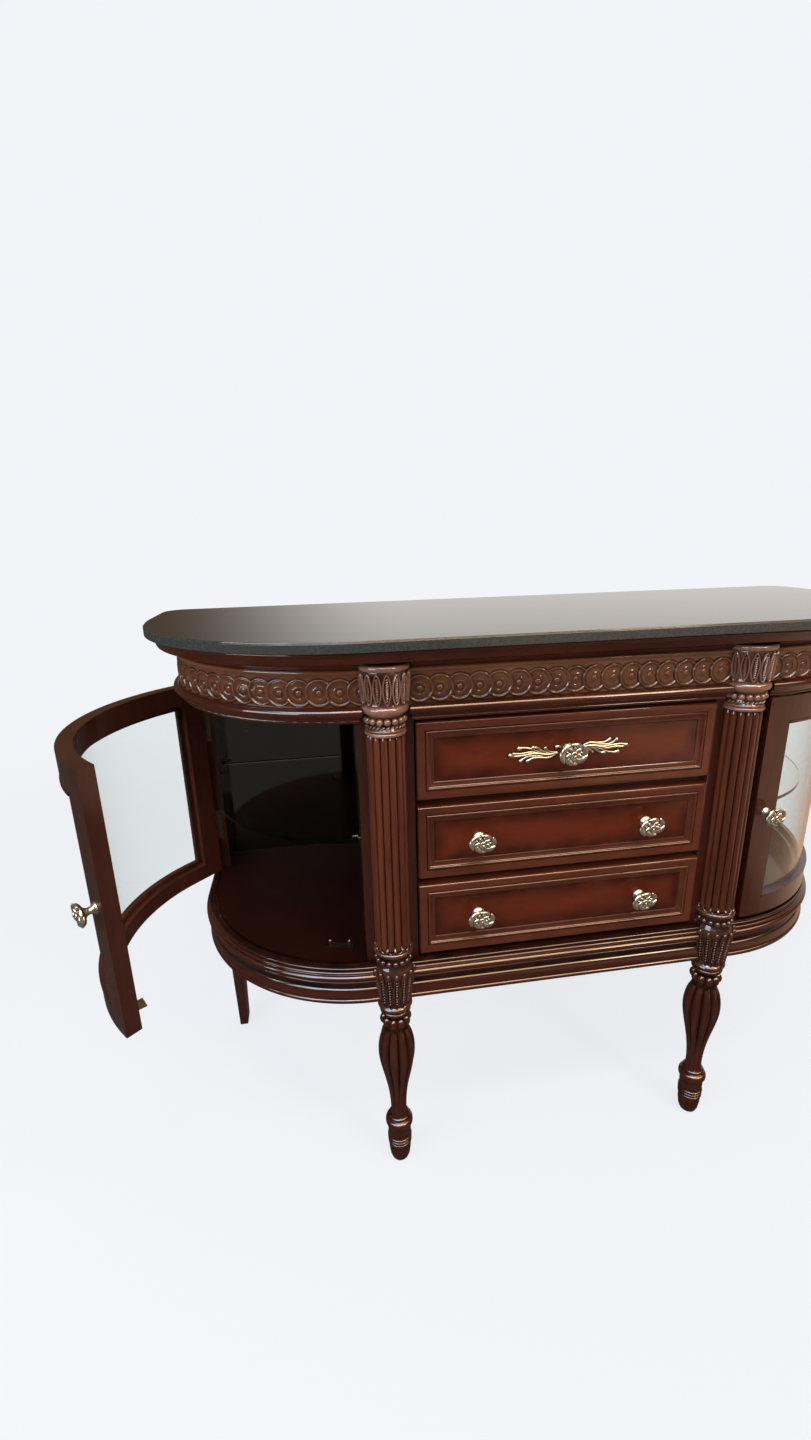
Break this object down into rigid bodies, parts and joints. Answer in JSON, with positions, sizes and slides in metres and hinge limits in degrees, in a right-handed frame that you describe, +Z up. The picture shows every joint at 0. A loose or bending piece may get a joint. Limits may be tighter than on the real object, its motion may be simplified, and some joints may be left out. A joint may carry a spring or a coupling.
{
  "type": "buffet cabinet",
  "caption": "Buffet cabinet with rounded glazed end doors, centre drawers between reeded columns, carved frieze, turned lobed front legs and a polished stone top.",
  "frame": {"origin": "on the floor, midway between the axes of the two turned front legs", "axes": "+X to the right along the front, as seen from the front; +Y from the front to the back; +Z up. At rest the left door stands 45 degrees open, as in the picture, and everything else is closed."},
  "size_m": [1.3676, 0.5332, 0.928],
  "materials": {
    "stone": null,
    "polished_wood": "dark red-brown stain under gloss lacquer",
    "carved_wood": "red-brown stain with a golden glaze in the carving",
    "dark_wood": "very dark brown satin",
    "inner_wood": "very dark brown matt",
    "back_panel": "dark grey-brown satin",
    "glass": "clear",
    "brass": "pale antique brass with dark recesses",
    "hardware": "dull brass"
  },
  "bodies": {
    "carcase": {"stone_top": "stone", "top_board": "inner_wood", "cornice": "polished_wood", "frieze_center": "carved_wood", "frieze_left": "carved_wood", "frieze_right": "carved_wood", "frieze_bead": "polished_wood", "capital_left": "carved_wood", "capital_right": "carved_wood", "column_left": "polished_wood", "column_right": "polished_wood", "block_left": "carved_wood", "block_right": "carved_wood", "leg_front_left": "polished_wood", "leg_front_right": "polished_wood", "post_front_left": "dark_wood", "post_front_right": "dark_wood", "post_rear_left": "dark_wood", "post_rear_right": "dark_wood", "foot_glides": "hardware", "deck_board": "inner_wood", "upper_board": "inner_wood", "base_moulding_center": "polished_wood", "base_moulding_left": "polished_wood", "base_moulding_right": "polished_wood", "partition_left": "inner_wood", "partition_right": "inner_wood", "back_panel_center": "back_panel", "back_panel_left": "back_panel", "back_panel_right": "back_panel", "face_rails": "dark_wood", "drawer_runners": "inner_wood", "shelf_glass_left": "glass", "shelf_glass_right": "glass", "shelf_pins": "hardware", "door_catches": "hardware", "hinges_fixed": "hardware"},
    "drawer_top": {"drawer_top_front": "polished_wood", "drawer_top_box": "inner_wood", "drawer_top_pull": "brass"},
    "drawer_middle": {"drawer_middle_front": "polished_wood", "drawer_middle_box": "inner_wood", "drawer_middle_knobs": "brass"},
    "drawer_bottom": {"drawer_bottom_front": "polished_wood", "drawer_bottom_box": "inner_wood", "drawer_bottom_knobs": "brass"},
    "door_left": {"door_left_rails": "polished_wood", "door_left_stile_hinge": "polished_wood", "door_left_stile_free": "polished_wood", "door_left_glass": "glass", "door_left_knob": "brass", "door_left_hardware": "hardware"},
    "door_right": {"door_right_rails": "polished_wood", "door_right_stile_hinge": "polished_wood", "door_right_stile_free": "polished_wood", "door_right_glass": "glass", "door_right_knob": "brass", "door_right_hardware": "hardware"}
  },
  "joints": [
    {"name": "drawer_top_slide", "type": "slide", "parent": "carcase", "child": "drawer_top", "axis": [0, -1, 0], "range_m": [0, 0.29]},
    {"name": "drawer_middle_slide", "type": "slide", "parent": "carcase", "child": "drawer_middle", "axis": [0, -1, 0], "range_m": [0, 0.29]},
    {"name": "drawer_bottom_slide", "type": "slide", "parent": "carcase", "child": "drawer_bottom", "axis": [0, -1, 0], "range_m": [0, 0.29]},
    {"name": "door_left_hinge", "type": "hinge", "parent": "carcase", "child": "door_left", "pos_m": [-0.5986, 0.347, 0.6095], "axis": [0, 0, -1], "range_deg": [-45, 55]},
    {"name": "door_right_hinge", "type": "hinge", "parent": "carcase", "child": "door_right", "pos_m": [0.5986, 0.347, 0.6095], "axis": [0, 0, 1], "range_deg": [0, 100]}
  ]
}
